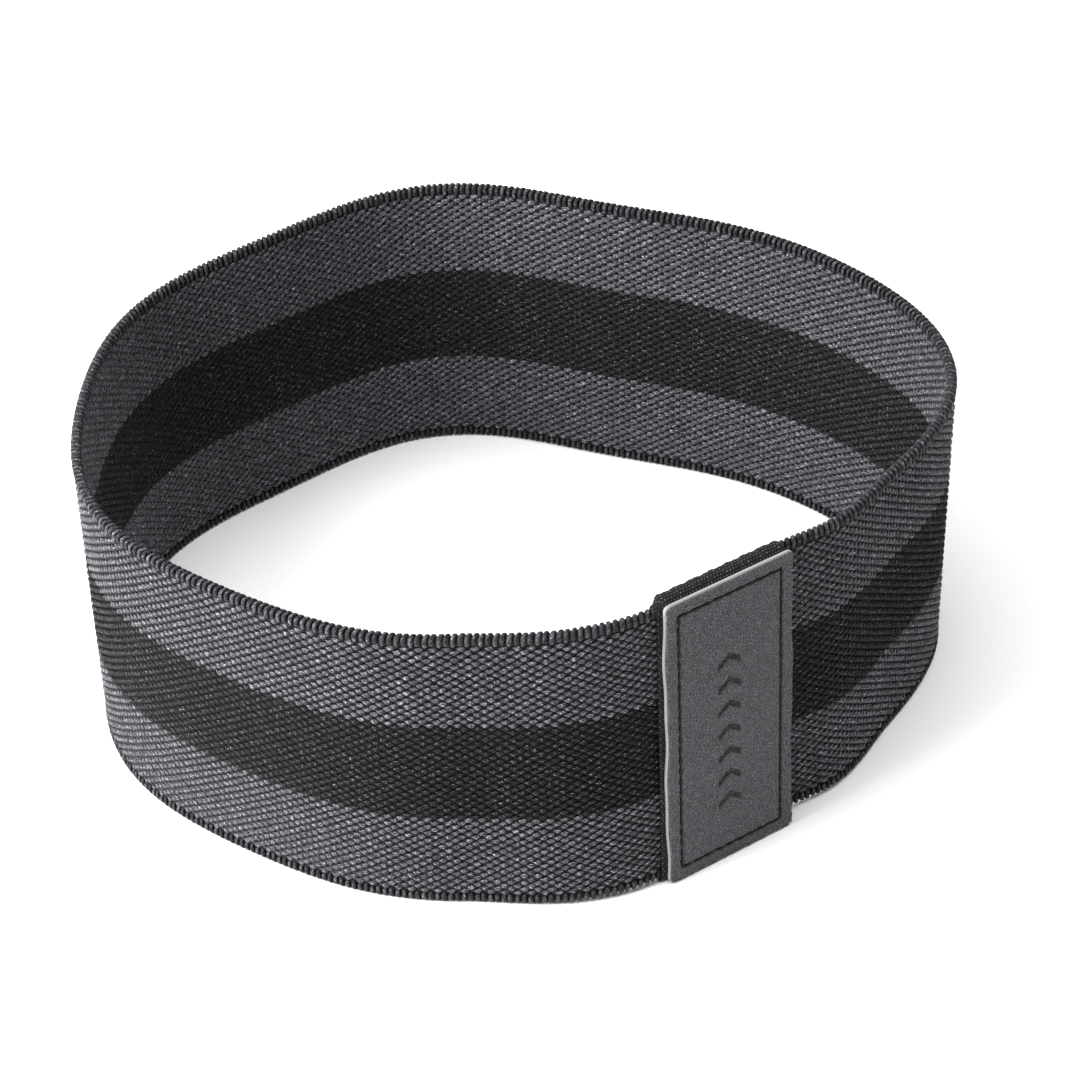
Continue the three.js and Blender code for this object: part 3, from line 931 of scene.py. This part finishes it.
def soft_light(kind, name, place, strength):
    """A soft light that shines towards the band. Its place is given in metres to the right of
    the camera's line, towards the camera, and up."""
    right, near, up = place
    azimuth = math.radians(CAMERA_AZIMUTH)
    x = right * math.cos(azimuth) + near * math.sin(azimuth)
    y = right * math.sin(azimuth) - near * math.cos(azimuth)
    light = bpy.data.lights.new(name, kind)
    light.energy = strength
    lamp = bpy.data.objects.new(name, light)
    lamp.location = (x, y, up)
    lamp.rotation_euler = (-Vector((x, y, up))).to_track_quat("-Z", "Y").to_euler()
    lamp.visible_camera = False
    bpy.context.scene.collection.objects.link(lamp)
    return light


def add_surroundings():
    """White surroundings that are bright low down and dim above."""
    world = bpy.data.worlds.new("studio")
    world.use_nodes = True
    tree = world.node_tree
    background = tree.nodes["Background"]
    background.inputs["Color"].default_value = (1, 1, 1, 1)
    direction = tree.nodes.new("ShaderNodeTexCoord").outputs["Generated"]
    split = tree.nodes.new("ShaderNodeSeparateXYZ")
    tree.links.new(direction, split.inputs[0])
    glow = tree.nodes.new("ShaderNodeMapRange")
    glow.interpolation_type = "SMOOTHSTEP"
    for socket, value in zip(glow.inputs[1:5], (HORIZON_HEIGHT, 2 * HORIZON_HEIGHT, 1.0, AMBIENT)):
        socket.default_value = value
    tree.links.new(split.outputs["Z"], glow.inputs[0])
    tree.links.new(glow.outputs[0], background.inputs["Strength"])
    bpy.context.scene.world = world


def add_lights():
    """A key from the left and a weaker, wide light overhead."""
    add_surroundings()
    key = soft_light("AREA", "key", KEY_PLACE, KEY_WATTS)
    key.size = KEY_SIZE
    overhead = soft_light("SUN", "overhead", OVERHEAD_PLACE, OVERHEAD_STRENGTH)
    overhead.angle = math.radians(OVERHEAD_SPREAD)
    bpy.context.scene.view_settings.view_transform = "Standard"


def add_camera():
    azimuth, elevation = math.radians(CAMERA_AZIMUTH), math.radians(CAMERA_ELEVATION)
    level = math.cos(elevation)
    back = Vector((math.sin(azimuth) * level, -math.cos(azimuth) * level, math.sin(elevation)))
    data = bpy.data.cameras.new("camera")
    data.lens = CAMERA_LENS
    data.sensor_width = SENSOR_WIDTH
    data.clip_start, data.clip_end = CLIP_START, CLIP_END
    camera = bpy.data.objects.new("camera", data)
    camera.location = (Vector(CAMERA_AIM) + back * CAMERA_DISTANCE) * MM
    facing = (-back).to_track_quat("-Z", "Y").to_matrix()
    roll = Matrix.Rotation(math.radians(CAMERA_ROLL), 3, "Z")
    camera.rotation_euler = (facing @ roll).to_euler()
    bpy.context.scene.collection.objects.link(camera)
    bpy.context.scene.camera = camera


add_camera()
add_webbing()
add_selvedge("bottom", 0, -1, BOTTOM_SEED)
add_selvedge("top", WEBBING_WIDTH, 1, TOP_SEED)
finish_rubber()
add_tape()
add_label()
add_floor()
add_lights()
